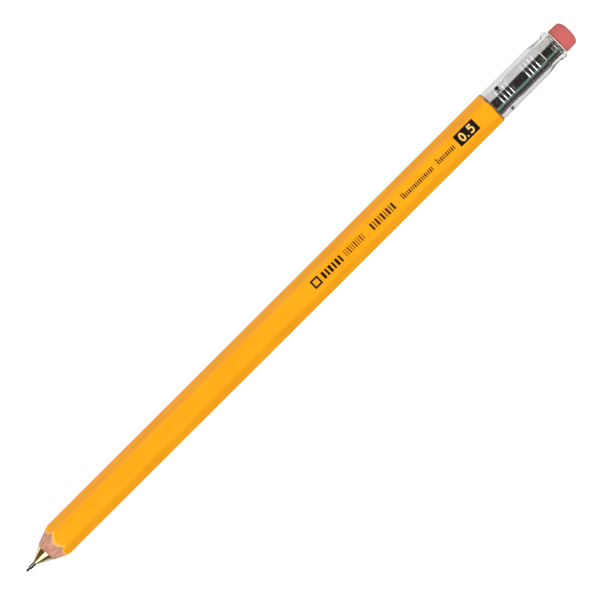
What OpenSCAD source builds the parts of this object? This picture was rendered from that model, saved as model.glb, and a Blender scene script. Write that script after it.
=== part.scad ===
// Mechanical pencil with a hexagonal wooden barrel, a brass nose cone and an eraser push button.
//
// The pencil lies along X on one flat of its barrel: the lead points to -X, the eraser to +X and +Z is up.
// The origin is halfway along its length, under its axis, at the height of its lowest point.
// Every piece is drawn along Z, where z is its distance from the lead's tip, and lie_down() turns it.

/* [Lead] */
// Diameter of the lead
lead_d = 0.56; // [0.55:0.01:0.57]
// Length of one stick of lead
lead_l = 60; // [50:1:70]
// Length of lead that stands out of the guide pipe
lead_out = 0.95; // [0.8:0.05:1.2]
// Number of spare leads in the lead tube
spare_count = 3; // [1:1:3]

/* [Nose] */
// Outside diameter of the guide pipe
pipe_d = 0.93; // [0.9:0.01:0.95]
// Length of guide pipe that stands out of the nose cone
pipe_out = 1.75; // [1.5:0.05:2]
// Length of the brass cone in front of the barrel
cone_l = 3.45; // [3.3:0.05:3.6]
// Diameter of the brass cone at the guide pipe
cone_tip_d = 1.12; // [1.1:0.01:1.2]
// Diameter of the brass cone at the barrel
cone_base_d = 4.56; // [4.4:0.02:4.7]
// Outside diameter of the threaded spigot behind the cone
spigot_d = 3.4; // [3.38:0.01:3.42]
// Length of the threaded spigot behind the cone
spigot_l = 7.85; // [7:0.05:9]

/* [Barrel] */
// Length of the wooden barrel, nose included
barrel_l = 142.4; // [138:0.1:150]
// Distance across the barrel's flats
barrel_af = 7.2; // [7.1:0.05:7.6]
// Diameter across the barrel's rounded corners
corner_d = 8.2; // [8.2:0.02:8.3]
// Diameter of the wooden nose where it meets the brass cone
wood_tip_d = 4.88; // [4.8:0.02:5]
// Angle between the wooden nose and the pencil's axis
wood_angle = 23; // [22:0.5:25]
// Diameter of the turned edge at the rear end of the barrel
rear_edge_d = 7.9; // [7.7:0.02:8]
// Length of the turned edge at the rear end of the barrel
rear_edge_l = 0.35; // [0.2:0.05:0.5]
// Diameter of the bore that holds the mechanism
bore_d = 4.2; // [4.18:0.01:4.22]
// Diameter of the counterbore that holds the clear sleeve
counterbore_d = 6.4; // [6.38:0.01:6.42]
// Depth of the counterbore
counterbore_l = 8.8; // [8.7:0.05:10]

/* [Clear sleeve] */
// Length of the sleeve behind the barrel
sleeve_l = 20.2; // [19.8:0.1:20.6]
// Outside diameter of the sleeve
sleeve_d = 7.86; // [7.7:0.02:7.9]
// Length of the sleeve's full-width part
sleeve_body_l = 15.5; // [15.3:0.05:15.7]
// Outside diameter of the waist in front of the lip
neck_d = 7.0; // [6.96:0.02:7.1]
// Outside diameter of the rear lip
lip_d = 7.64; // [7.5:0.02:7.8]
// Length of the rear lip
lip_l = 1.3; // [1.1:0.05:1.5]
// Diameter of the three pins that keep the button in
pin_d = 0.8; // [0.7:0.02:0.8]
// Diameter of the pins' heads
pin_head_d = 1.1; // [1:0.02:1.2]

/* [Button] */
// Distance that the button travels when it is pressed
press = 2; // [1.5:0.1:2]
// Outside diameter of the ferrule
ferrule_d = 5.86; // [5.8:0.02:5.88]
// Outside diameter of the ferrule's narrower rear part
ferrule_neck_d = 5.26; // [5.24:0.02:5.4]
// Outside diameter of the ferrule's rolled rim
rim_d = 5.68; // [5.6:0.02:5.8]
// Distance between two crimped rings
ring_pitch = 1.08; // [1:0.02:1.1]
// Number of crimped rings in each group
ring_count = 4; // [3:1:4]
// Outside diameter of the button core
core_d = 4.8; // [4.76:0.01:4.82]
// Diameter of the eraser at its base
eraser_d = 6.36; // [6.2:0.02:6.4]
// Length of eraser that stands out of the ferrule
eraser_l = 4.05; // [3.5:0.05:6]
// Radius of the eraser's rounded end
eraser_round = 1.3; // [0.8:0.1:1.4]
// Length of the eraser's plug inside the ferrule
plug_l = 8; // [6:0.5:9]

/* [Mechanism] */
// Outside diameter of the lead tube
tube_d = 2.7; // [2.6:0.02:2.7]
// Inside diameter of the lead tube
tube_bore = 2.0; // [1.9:0.02:2]
// Outside diameter of the chuck's stem
stem_d = 1.6; // [1.56:0.01:1.62]
// Outside diameter of the jaws at their heads
jaw_d = 2.1; // [2:0.02:2.12]
// Angle that each of the three jaws fills
jaw_arc = 112; // [108:1:114]
// Outside diameter of the clutch ring
clutch_d = 2.6; // [2.56:0.01:2.61]

/* [Spring] */
// Mean diameter of the return spring
spring_d = 2.3; // [2.2:0.02:2.36]
// Diameter of the spring's wire
wire_d = 0.25; // [0.2:0.01:0.28]
// Number of turns
spring_turns = 10; // [8:1:11]

/* [Hidden] */
$fn = 64;

// Gaps
face_gap = 0.05;   // between two faces that meet end to end
glue_gap = 0.02;   // between a glued or pressed piece and its bore, on the diameter 0.04
slide_gap = 0.05;  // between a piece that slides and its bore, on the diameter 0.1
eraser_gap = 0.06; // between the eraser and the sleeve's rear bore, on the diameter 0.12

// Stations along the axis, each a distance from the lead's tip
pipe_s = lead_out;
cone_s = pipe_s + pipe_out;
cone_end = cone_s + cone_l;
barrel_s = cone_end + face_gap;
barrel_end = barrel_s + barrel_l;
sleeve_s = barrel_end + glue_gap;
body_end = sleeve_s + sleeve_body_l;
sleeve_end = sleeve_s + sleeve_l;
ferrule_shift = 0.13;                   // the ferrule sits this far behind the sleeve's ends
ferrule_s = sleeve_s + ferrule_shift;
ferrule_end = sleeve_end + ferrule_shift;
eraser_s = ferrule_end + face_gap;
total_l = eraser_s + eraser_l;
axis_h = max(sleeve_d, barrel_af) / 2;

// Nose
pipe_tail = 1.6;                        // length of the guide pipe inside the cone
pipe_end = cone_s + pipe_tail;
pipe_bore = lead_d + 0.08;
retainer_d = 1.8;                       // outside diameter of the lead retainer
retainer_l = 1;                         // length of the lead retainer
retainer_s = pipe_end + 2 * face_gap;
retainer_end = retainer_s + retainer_l;
retainer_bore = lead_d + 0.04;
cavity_s = retainer_end + 2 * face_gap;
cavity_d = jaw_d + 0.44;                // room for the opened jaws
cavity_step = cavity_s + 2.55;          // shoulder that stops the clutch ring
spigot_bore = clutch_d + 2 * slide_gap;
spigot_end = cone_end + spigot_l;

// Barrel
nose_sides = 72;                        // flat sides of the sharpened nose
blank_d = 2 * barrel_af;                // wide enough to hold the whole hexagon
blank_nose_l = (blank_d - wood_tip_d) / 2 / tan(wood_angle);
counterbore_s = barrel_end - counterbore_l;

// Front insert and chuck housing
insert_d = bore_d - 2 * glue_gap;
insert_bore = spigot_d + 2 * slide_gap;
flange_s = barrel_s + 10.8;
flange_l = 1.5;                         // thickness of the flange that the spring pushes against
flange_end = flange_s + flange_l;
housing_s = barrel_s + 4.3;
housing_bore = stem_d + 0.16;

// Chuck
jaw_s = barrel_s + 1.4;
jaw_nose_l = 0.3;                       // turned edge at the front of the jaws
jaw_land_l = 0.9;                       // length of the jaws at their full diameter, edge included
jaw_head_l = 2.3;                       // length of the jaws' heads, cone included
jaw_nose_d = jaw_d - 0.4;
jaw_waist_d = 1.56;                     // small end of the jaws' cone
jaw_neck_d = 1.24;
jaw_grip = lead_d + 0.02;
jaw_bore = lead_d + 0.16;
jaw_end = barrel_s + 9.7;
stem_s = jaw_end + 0.2;
stem_end = stem_s + 17.4;
stem_bore = lead_d + 0.14;
clutch_s = jaw_s + 1.3;
clutch_end = housing_s - face_gap;
clutch_clear = 0.03;                    // between the jaws' cone and the clutch ring

// Lead tube
tube_s = barrel_s + 21.8;
tube_end = counterbore_s + 1.2;
spare_offset = 0.62;                    // distance of each spare lead from the axis
spare_s = stem_end + 3;

// Return spring
spring_s = flange_end + face_gap;
spring_l = tube_s - face_gap - spring_s;
spring_steps = 18;                      // rings of points in one turn
spring_sides = 6;                       // points round the wire

// Button
guide_bore = core_d + 2 * slide_gap;
sleeve_bore = ferrule_d + 2 * slide_gap;
neck_bore = eraser_d + 2 * eraser_gap;
spigot_sleeve_d = counterbore_d - 2 * glue_gap;
guide_s = counterbore_s + 0.2;
pocket_s = ferrule_s - press - 0.45;    // floor of the pocket that the ferrule sinks into
pin_s = sleeve_s + 3.28;
pin_tip = ferrule_d / 2 - 0.1;          // distance from the axis to the pins' inner ends
pin_top = sleeve_d / 2 - 0.05;          // distance from the axis to the pins' heads
pin_head_l = 0.3;
pin_head_s = pin_top - pin_head_l;      // distance from the axis to the undersides of the pins' heads
pin_turn = 24;                          // turn of the first pin from the side that faces down
core_front_s = counterbore_s - 2.3;
core_s = counterbore_s + 2.5;
core_l = 14.7;                          // length of the core behind its narrower front part
core_end = core_s + core_l;
core_front_d = bore_d - 0.3;
ferrule_bore = core_d + 2 * glue_gap;
waist_s = pin_s - pin_d / 2 - face_gap;
waist_end = pin_s + pin_d / 2 + press + face_gap;
waist_depth = 0.13;
waist_d = ferrule_d - 2 * waist_depth;
ring_depth = 0.12;
front_ring_depth = 0.06;                // below the waist
groove_l = ring_pitch * 0.4;            // length of one crimped groove
front_rings_s = sleeve_s + 2.28;        // middle of the first ring of each group
rear_rings_s = sleeve_s + 10.48;
shoulder_l = 0.5;                       // length over which the sleeve and the ferrule draw in
shoulder_s = body_end + shoulder_l;
rim_s = ferrule_end - 0.85;
lip_s = sleeve_end - lip_l;
neck_flare = 0.06;                      // the waist is this much wider at its ends than at its middle
lip_edge = 0.06;                        // the lip is this much lower at its edges than at its middle
plug_d = ferrule_bore - 2 * glue_gap;

// Colours
lacquer = [0.97, 0.66, 0.09];
brass = [0.80, 0.66, 0.38];
steel = [0.72, 0.72, 0.74];
graphite = [0.13, 0.13, 0.15];
clear_plastic = [0.90, 0.91, 0.92, 0.4];
white_plastic = [0.90, 0.90, 0.88];
eraser_pink = [0.84, 0.43, 0.42];
dark_rubber = [0.2, 0.2, 0.2];

// Turns a piece drawn along its own axis into its place on the surface.
module lie_down() {
    translate([-total_l / 2, 0, axis_h]) rotate([0, 90, 0]) children();
}

// A turned piece from its outline, a list of [radius, station].
module turned(outline) {
    rotate_extrude() polygon(outline);
}

// A plain round bar from one station to another. A bore is a bar that is cut away.
module bar(d, from, to) {
    translate([0, 0, from]) cylinder(d = d, h = to - from);
}

// A plain round tube from one station to another.
module tube(d, bore, from, to) {
    difference() {
        bar(d, from, to);
        bar(bore, from - 1, to + 1);
    }
}

// A cone as sharpened on the front of the barrel, widened behind it to a bar that holds the whole hexagon.
module sharpened_bar() {
    thin = 0.01;
    hull() {
        translate([0, 0, barrel_s]) cylinder(d = wood_tip_d, h = thin, $fn = nose_sides);
        translate([0, 0, barrel_s + blank_nose_l]) cylinder(d = blank_d, h = barrel_l, $fn = nose_sides);
    }
}

// The whole barrel: a hexagon with rounded corners, sharpened at the front and bored through.
module barrel_blank() {
    difference() {
        intersection() {
            translate([0, 0, barrel_s]) rotate([0, 0, 30])
                cylinder(d = barrel_af / cos(30), h = barrel_l, $fn = 6);
            union() {
                bar(corner_d, barrel_s - 1, barrel_end - rear_edge_l);
                bar(rear_edge_d, barrel_end - 2 * rear_edge_l, barrel_end + 1);
            }
            sharpened_bar();
        }
        bar(bore_d, barrel_s - 1, barrel_end + 1);
        bar(counterbore_d, counterbore_s, barrel_end + 1);
    }
}

// One of the two glued halves of the barrel: side is 1 for the lower half and -1 for the upper.
module slat(side) {
    wide = 2 * corner_d;
    intersection() {
        barrel_blank();
        translate([side * wide / 2, 0, barrel_end / 2]) cube([wide, wide, 2 * barrel_end], center = true);
    }
}

module slat_upper() {
    color(lacquer) lie_down() slat(-1);
}

module slat_lower() {
    color(lacquer) lie_down() slat(1);
}

// Threaded insert glued into the front of the barrel, which the nose cone screws into.
module front_insert() {
    color(brass) lie_down() tube(insert_d, insert_bore, barrel_s + face_gap, flange_s - face_gap);
}

// Fixed tube that stops the clutch ring, with a flange that the return spring pushes against.
module chuck_housing() {
    color(steel) lie_down() difference() {
        union() {
            bar(clutch_d, housing_s, flange_s + flange_l / 2);
            bar(insert_d, flange_s, flange_end);
        }
        bar(housing_bore, housing_s - 1, flange_end + 1);
    }
}

// Outline of the clear sleeve's outside, from the barrel to the lip.
function neck_outline(steps) = [
    for (i = [0 : steps])
        let (along = i / steps)
        let (flare = neck_d / 2 + neck_flare * pow(2 * along - 1, 2))
        [flare, shoulder_s + along * (lip_s - shoulder_l - shoulder_s)]
];

module sleeve_solid() {
    turned(concat(
        [
            [0, guide_s],
            [spigot_sleeve_d / 2, guide_s],
            [spigot_sleeve_d / 2, sleeve_s],
            [sleeve_d / 2, sleeve_s],
            [sleeve_d / 2, body_end]
        ],
        neck_outline(4),
        [
            [lip_d / 2 - lip_edge, lip_s],
            [lip_d / 2, lip_s + lip_l / 2],
            [lip_d / 2 - 2 * lip_edge, sleeve_end - 3 * lip_edge],
            [lip_d / 2 - 5 * lip_edge, sleeve_end],
            [0, sleeve_end]
        ]
    ));
}

// Clear guide sleeve behind the barrel. The ferrule slides in it and the eraser's base enters its lip.
module clear_sleeve() {
    color(clear_plastic) lie_down() difference() {
        sleeve_solid();
        bar(guide_bore, guide_s - 1, sleeve_end + 1);
        bar(sleeve_bore, pocket_s, sleeve_end + 1);
        bar(neck_bore, shoulder_s - 0.2, sleeve_end + 1);
        each_pin() cylinder(d = pin_d + 2 * glue_gap, h = sleeve_d);
        each_pin() translate([0, 0, pin_head_s - glue_gap])
            cylinder(d = pin_head_d + 2 * glue_gap, h = sleeve_d);
    }
}

// Places a piece along each of the three pins, which point out from the axis.
module each_pin() {
    for (i = [0 : 2])
        rotate([0, 0, pin_turn + 120 * i]) translate([0, 0, pin_s]) rotate([0, 90, 0]) children();
}

// Three pins through the sleeve: their tips run in the ferrule's front waist and keep the button in.
module sleeve_pins() {
    color(steel) lie_down() each_pin() {
        translate([0, 0, pin_tip]) cylinder(d = pin_d, h = pin_top - pin_tip);
        translate([0, 0, pin_head_s]) cylinder(d = pin_head_d, h = pin_head_l);
    }
}

// Brass nose cone with its threaded spigot. The front cavity holds the lead retainer and the opened jaws.
module nose_cone() {
    outline = [
        [0, cone_s],
        [cone_tip_d / 2, cone_s],
        [cone_base_d / 2, cone_end],
        [spigot_d / 2, cone_end],
        [spigot_d / 2, spigot_end],
        [0, spigot_end]
    ];
    color(brass) lie_down() difference() {
        turned(outline);
        bar(pipe_d + glue_gap, cone_s - 1, spigot_end);
        bar(retainer_d + 2 * glue_gap, pipe_end, spigot_end);
        bar(cavity_d, cavity_s, spigot_end);
        bar(spigot_bore, cavity_step, spigot_end + 1);
    }
}

module guide_pipe() {
    color(steel) lie_down() tube(pipe_d, pipe_bore, pipe_s, pipe_end);
}

// Rubber ring that holds the lead while the jaws let go.
module lead_retainer() {
    color(dark_rubber) lie_down() tube(retainer_d, retainer_bore, retainer_s, retainer_end);
}

// Diameter of the jaws' cone at a station.
function jaw_cone(s) =
    jaw_d - (jaw_d - jaw_waist_d) * (s - jaw_s - jaw_land_l) / (jaw_head_l - jaw_land_l);

// Loose ring that squeezes the jaws when the spring draws them back into it.
module clutch_ring() {
    cone_bottom = jaw_s + jaw_head_l;
    outline = [
        [jaw_cone(clutch_s) / 2 + clutch_clear, clutch_s],
        [clutch_d / 2, clutch_s],
        [clutch_d / 2, clutch_end],
        [jaw_waist_d / 2 + clutch_clear, clutch_end],
        [jaw_waist_d / 2 + clutch_clear, cone_bottom]
    ];
    color(brass) lie_down() turned(outline);
}

// One of the three jaws of the chuck, turned to its place round the axis.
module jaw(number) {
    head_end = jaw_s + jaw_head_l;
    outline = [
        [jaw_grip / 2, jaw_s],
        [jaw_nose_d / 2, jaw_s],
        [jaw_d / 2, jaw_s + jaw_nose_l],
        [jaw_d / 2, jaw_s + jaw_land_l],
        [jaw_waist_d / 2, head_end],
        [jaw_neck_d / 2, head_end],
        [jaw_neck_d / 2, jaw_end],
        [jaw_bore / 2, jaw_end],
        [jaw_bore / 2, head_end],
        [jaw_grip / 2, head_end]
    ];
    turn = 120 * (number - 1) - jaw_arc / 2;
    color(brass) lie_down() rotate([0, 0, turn]) rotate_extrude(angle = jaw_arc) polygon(outline);
}

module jaw_1() {
    jaw(1);
}

module jaw_2() {
    jaw(2);
}

module jaw_3() {
    jaw(3);
}

// Stem of the chuck, pressed into the lead tube.
module chuck_stem() {
    color(brass) lie_down() tube(stem_d, stem_bore, stem_s, stem_end);
}

// Height of the spring's wire after a number of turns: one close turn at each end, the rest even.
function spring_rise(turns) =
    let (close = 1.1 * wire_d)
    let (open = spring_l - wire_d - 2 * close)
    turns < 1 ? close * turns
    : turns > spring_turns - 1 ? close + open + close * (turns - spring_turns + 1)
    : close + open * (turns - 1) / (spring_turns - 2);

// Return spring, a coil of round wire round the chuck's stem.
module return_spring() {
    rings = spring_turns * spring_steps;
    points = [
        for (i = [0 : rings])
            for (j = [0 : spring_sides - 1])
                let (turn = 360 * i / spring_steps)
                let (round_wire = 360 * j / spring_sides)
                let (r = spring_d / 2 + wire_d / 2 * cos(round_wire))
                let (z = spring_s + wire_d / 2 + spring_rise(i / spring_steps) + wire_d / 2 * sin(round_wire))
                [r * cos(turn), r * sin(turn), z]
    ];
    sides = [
        for (i = [0 : rings - 1])
            for (j = [0 : spring_sides - 1])
                let (a = i * spring_sides + j)
                let (b = i * spring_sides + (j + 1) % spring_sides)
                [a, a + spring_sides, b + spring_sides, b]
    ];
    first = [for (j = [0 : spring_sides - 1]) j];
    last = [for (j = [spring_sides - 1 : -1 : 0]) rings * spring_sides + j];
    color(steel) lie_down() polyhedron(points, concat(sides, [first, last]));
}

// Lead tube: the chuck's stem is pressed into its front end, and the leads lie in the rest.
module lead_tube() {
    color(white_plastic) lie_down() difference() {
        bar(tube_d, tube_s, tube_end);
        bar(stem_d + 2 * glue_gap, tube_s - 1, stem_end + face_gap);
        bar(tube_bore, stem_end + face_gap, tube_end + 1);
    }
}

module spare_leads() {
    color(graphite) lie_down() for (i = [0 : spare_count - 1])
        rotate([0, 0, 120 * i]) translate([spare_offset, 0, 0]) bar(lead_d, spare_s, spare_s + lead_l);
}

module writing_lead() {
    color(graphite) lie_down() bar(lead_d, 0, lead_l);
}

// Plastic plug that joins the lead tube to the ferrule. Leads go in through its bore.
module button_core() {
    color(white_plastic) lie_down() difference() {
        union() {
            bar(core_front_d, core_front_s, core_s + 1);
            bar(core_d, core_s, core_end);
        }
        bar(tube_d + 2 * glue_gap, core_front_s - 1, tube_end + face_gap);
        bar(tube_bore, tube_end, core_end + 1);
    }
}

// Grooves of one group of crimped rings, cut to a diameter.
module crimp_grooves(from, bottom_d) {
    for (i = [0 : ring_count - 1]) {
        middle = from + i * ring_pitch;
        tube(ferrule_d + 1, bottom_d, middle - groove_l / 2, middle + groove_l / 2);
    }
}

// Crimped metal ferrule. Its front waist runs on the sleeve's pins, which stop it at both ends of its travel.
module ferrule() {
    color(steel) lie_down() difference() {
        bar(ferrule_d, ferrule_s, ferrule_end);
        bar(ferrule_bore, ferrule_s - 1, ferrule_end + 1);
        tube(ferrule_d + 1, waist_d, waist_s, waist_end);
        crimp_grooves(front_rings_s, waist_d - 2 * front_ring_depth);
        crimp_grooves(rear_rings_s, ferrule_d - 2 * ring_depth);
        tube(ferrule_d + 1, ferrule_neck_d, shoulder_s, rim_s);
        tube(ferrule_d + 1, rim_d, rim_s - 0.1, ferrule_end + 1);
    }
}

// Eraser: a plug inside the ferrule and a wider end with a rounded edge.
module eraser() {
    end_r = eraser_d / 2 - 0.09;
    corner_steps = 4;
    rounded = [
        for (i = [0 : corner_steps])
            let (turn = 90 * i / corner_steps)
            [end_r - eraser_round * (1 - cos(turn)), total_l - eraser_round * (1 - sin(turn))]
    ];
    outline = concat(
        [
            [0, eraser_s - plug_l],
            [plug_d / 2, eraser_s - plug_l],
            [plug_d / 2, eraser_s],
            [eraser_d / 2, eraser_s]
        ],
        rounded,
        [[0, total_l]]
    );
    color(eraser_pink) lie_down() turned(outline);
}

slat_upper();
slat_lower();
front_insert();
chuck_housing();
clear_sleeve();
sleeve_pins();
nose_cone();
guide_pipe();
lead_retainer();
clutch_ring();
jaw_1();
jaw_2();
jaw_3();
return_spring();
chuck_stem();
lead_tube();
spare_leads();
writing_lead();
button_core();
ferrule();
eraser();
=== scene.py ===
"""Looks of the wooden mechanical pencil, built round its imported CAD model.

The pencil lies along X: the lead points to -X and the eraser to +X. Sizes are in millimetres, and stations
are distances from the lead's tip, as in the CAD model. Turns are measured round the pencil's axis: 0 is
straight up and 90 degrees is towards +Y.
"""

import itertools
import math

import bmesh
import bpy
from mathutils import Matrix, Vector


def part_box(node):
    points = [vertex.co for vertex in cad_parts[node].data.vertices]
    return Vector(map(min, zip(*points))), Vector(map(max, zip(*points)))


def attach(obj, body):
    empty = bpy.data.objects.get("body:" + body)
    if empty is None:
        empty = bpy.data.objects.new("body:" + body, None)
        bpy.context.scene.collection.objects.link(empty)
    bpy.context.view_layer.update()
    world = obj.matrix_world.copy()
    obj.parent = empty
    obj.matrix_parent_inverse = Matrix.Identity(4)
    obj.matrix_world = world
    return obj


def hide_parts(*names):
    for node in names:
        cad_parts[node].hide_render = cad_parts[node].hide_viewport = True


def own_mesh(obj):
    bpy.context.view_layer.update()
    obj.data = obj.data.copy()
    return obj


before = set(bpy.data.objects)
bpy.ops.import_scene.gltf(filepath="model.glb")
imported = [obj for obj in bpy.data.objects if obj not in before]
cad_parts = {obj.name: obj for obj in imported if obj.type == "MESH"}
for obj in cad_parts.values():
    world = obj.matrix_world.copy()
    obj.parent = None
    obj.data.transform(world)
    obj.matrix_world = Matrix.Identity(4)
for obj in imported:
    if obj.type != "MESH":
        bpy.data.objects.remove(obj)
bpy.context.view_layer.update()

MM = 0.001
TIP_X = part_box("writing_lead")[0].x
AXIS_Z = sum(corner.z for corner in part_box("ferrule")) / 2
FULL_TURN = 2 * math.pi

scene = bpy.context.scene


# ---------------------------------------------------------------- camera

VIEW_TURN = math.radians(44.92)  # the pencil's tilt in the picture
VIEW_WIDTH = 135.48  # width of the view at the pencil's axis
VIEW_DISTANCE = 4000
VIEW_CENTRE = (0.44, -0.21)  # the middle of the view, from the middle of the pencil


def make_camera():
    data = bpy.data.cameras.new("camera")
    data.sensor_width = 36
    data.lens = data.sensor_width * VIEW_DISTANCE / VIEW_WIDTH
    data.clip_start = 0.1
    data.clip_end = 20
    camera = bpy.data.objects.new("camera", data)
    camera.location = (VIEW_CENTRE[0] * MM, VIEW_CENTRE[1] * MM, AXIS_Z + VIEW_DISTANCE * MM)
    camera.rotation_euler = (0, 0, -VIEW_TURN)
    scene.collection.objects.link(camera)
    scene.camera = camera


make_camera()


# ---------------------------------------------------------------- stations, from the CAD model


def span(node):
    """First and last station of a CAD node."""
    low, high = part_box(node)
    return (low.x - TIP_X) / MM, (high.x - TIP_X) / MM


def radius(node):
    """Half of a CAD node's size across the pencil."""
    low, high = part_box(node)
    return (high.y - low.y) / 2 / MM


PIPE_S, PIPE_END = span("guide_pipe")
CONE_S, SPIGOT_END = span("nose_cone")
BARREL_S, BARREL_END = span("slat_upper")
GUIDE_S, SLEEVE_END = span("clear_sleeve")
FERRULE_S, FERRULE_END = span("ferrule")
PLUG_S, ERASER_END = span("eraser")
SPRING_S, SPRING_END = span("return_spring")
PIN_S = sum(span("sleeve_pins")) / 2
LEAD_R = radius("writing_lead")
PIPE_R = radius("guide_pipe")
CONE_R = radius("nose_cone")
SLEEVE_R = radius("clear_sleeve")
FERRULE_R = radius("ferrule")
ERASER_R = radius("eraser")
FLAT_R = (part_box("slat_upper")[1].z - AXIS_Z) / MM
CONE_END = BARREL_S - 0.05
SLEEVE_S = BARREL_END + 0.02
BODY_END = SLEEVE_S + 15.5
SHOULDER_S = BODY_END + 0.5
ERASER_S = FERRULE_END + 0.05


# ---------------------------------------------------------------- meshes

WELD = 0.0002  # points closer than this become one
SHARP_ANGLE = 35  # edges that turn by more than this, in degrees, stay sharp
ROUNDING_STEPS = 4
ROUNDING_SHARE = 0.48  # a rounding takes up at most this share of an edge


def place(s, r, turn):
    """The point at a station, a distance from the axis and a turn, in the row frame in metres."""
    return (TIP_X + s * MM, r * MM * math.sin(turn), AXIS_Z + r * MM * math.cos(turn))


def finish_mesh(obj, sharp_angle):
    """Welds the mesh closed, turns its faces outward and keeps only its real edges sharp."""
    work = bmesh.new()
    work.from_mesh(obj.data)
    bmesh.ops.remove_doubles(work, verts=work.verts, dist=WELD * MM)
    bmesh.ops.recalc_face_normals(work, faces=work.faces)
    work.to_mesh(obj.data)
    work.free()
    for polygon in obj.data.polygons:
        polygon.use_smooth = True
    obj.data.set_sharp_from_angle(angle=math.radians(sharp_angle))


def new_piece(name, points, faces, zones=None, sharp_angle=SHARP_ANGLE):
    """A mesh object. zones holds one material number per face."""
    mesh = bpy.data.meshes.new(name)
    mesh.from_pydata(points, [], faces)
    if zones:
        mesh.polygons.foreach_set("material_index", zones)
    obj = bpy.data.objects.new(name, mesh)
    scene.collection.objects.link(obj)
    finish_mesh(obj, sharp_angle)
    return obj


def rounded(corners):
    """An outline with rounded corners: each is (station, radius) or (station, radius, rounding)."""
    out = []
    count = len(corners)
    for i, corner in enumerate(corners):
        here = Vector(corner[:2])
        rounding = corner[2] if len(corner) > 2 else 0
        if not rounding:
            out.append(tuple(here))
            continue
        before = Vector(corners[(i - 1) % count][:2]) - here
        after = Vector(corners[(i + 1) % count][:2]) - here
        start = here + before.normalized() * min(rounding, before.length * ROUNDING_SHARE)
        end = here + after.normalized() * min(rounding, after.length * ROUNDING_SHARE)
        for k in range(ROUNDING_STEPS + 1):
            t = k / ROUNDING_STEPS
            out.append(tuple(start * (1 - t) ** 2 + here * 2 * t * (1 - t) + end * t * t))
    return out


def even_turns(sides):
    return [FULL_TURN * i / sides for i in range(sides)]


def swept(name, outline_of, turns, closed_round=True, zone_of=None, sharp_angle=SHARP_ANGLE):
    """A piece swept round the axis.

    outline_of(turn) is its closed outline at a turn, as (station, radius) pairs, and zone_of(k) is the number
    of the material that the outline's stretch k has.
    """
    loops = [outline_of(turn) for turn in turns]
    count = len(loops[0])
    points = [place(s, max(r, 0), turn) for turn, loop in zip(turns, loops) for s, r in loop]
    faces, zones = [], []
    columns = len(turns) if closed_round else len(turns) - 1
    for j in range(columns):
        a, b = j * count, ((j + 1) % len(turns)) * count
        for k in range(count):
            n = (k + 1) % count
            if loops[j][k][1] <= 0 and loops[j][n][1] <= 0:
                continue
            faces.append((a + k, b + k, b + n, a + n))
            zones.append(zone_of(k) if zone_of else 0)
    if not closed_round:
        faces.append(tuple(range(count)))
        faces.append(tuple(range((len(turns) - 1) * count, len(turns) * count)))
        zones += [0, 0]
    return new_piece(name, points, faces, zones, sharp_angle)


def turned(name, corners, sides):
    """A turned piece with the same rounded outline all the way round."""
    outline = rounded(corners)
    return swept(name, lambda turn: outline, even_turns(sides))


def faces_between(rings, sides):
    """The faces that join rings of points, each to the next one."""
    faces = []
    for i in range(rings - 1):
        a, b = i * sides, (i + 1) * sides
        for k in range(sides):
            n = (k + 1) % sides
            faces.append((a + k, a + n, b + n, b + k))
    return faces


def wire_along(name, centres, r):
    """A round wire along a line of points in metres, with closed ends."""
    sides = 10
    points = []
    for i, centre in enumerate(centres):
        ahead = Vector(centres[min(i + 1, len(centres) - 1)]) - Vector(centres[max(i - 1, 0)])
        ahead.normalize()
        across = ahead.cross(Vector((1, 0, 0))).normalized()
        other = ahead.cross(across)
        for k in range(sides):
            turn = FULL_TURN * k / sides
            points.append(Vector(centre) + (across * math.cos(turn) + other * math.sin(turn)) * r)
    faces = faces_between(len(centres), sides)
    faces.append(tuple(range(sides)))
    faces.append(tuple(range((len(centres) - 1) * sides, len(centres) * sides)))
    return new_piece(name, points, faces)


# ---------------------------------------------------------------- materials


class Nodes:
    """Short ways to build a node tree."""

    # The colour sockets of a mix node
    MIX_A, MIX_B, MIX_RESULT = 6, 7, 2

    def __init__(self, tree):
        self.tree = tree

    def add(self, kind, **settings):
        node = self.tree.nodes.new(kind)
        for key, value in settings.items():
            setattr(node, key, value)
        return node

    def join(self, source, target):
        self.tree.links.new(source, target)

    def feed(self, socket, value):
        """Gives a socket a number, a colour or another node's output."""
        if isinstance(value, tuple):
            socket.default_value = (*value, 1)
        elif isinstance(value, (int, float)):
            socket.default_value = value
        else:
            self.join(value, socket)

    def steps(self, source, low, high, to_low=0.0, to_high=1.0, smooth=True):
        """Carries the values from low to high over to another range, and keeps inside it."""
        node = self.add("ShaderNodeMapRange", interpolation_type="SMOOTHSTEP" if smooth else "LINEAR")
        limits = {"From Min": low, "From Max": high, "To Min": to_low, "To Max": to_high}
        for socket, value in limits.items():
            node.inputs[socket].default_value = value
        self.join(source, node.inputs["Value"])
        return node.outputs["Result"]

    def math(self, operation, a, b):
        node = self.add("ShaderNodeMath", operation=operation)
        self.feed(node.inputs[0], a)
        self.feed(node.inputs[1], b)
        return node.outputs["Value"]

    def mix(self, share, a, b):
        """Colour a where the share is 0, and b where it is 1."""
        node = self.add("ShaderNodeMix", data_type="RGBA")
        self.join(share, node.inputs["Factor"])
        self.feed(node.inputs[self.MIX_A], a)
        self.feed(node.inputs[self.MIX_B], b)
        return node.outputs[self.MIX_RESULT]


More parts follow.
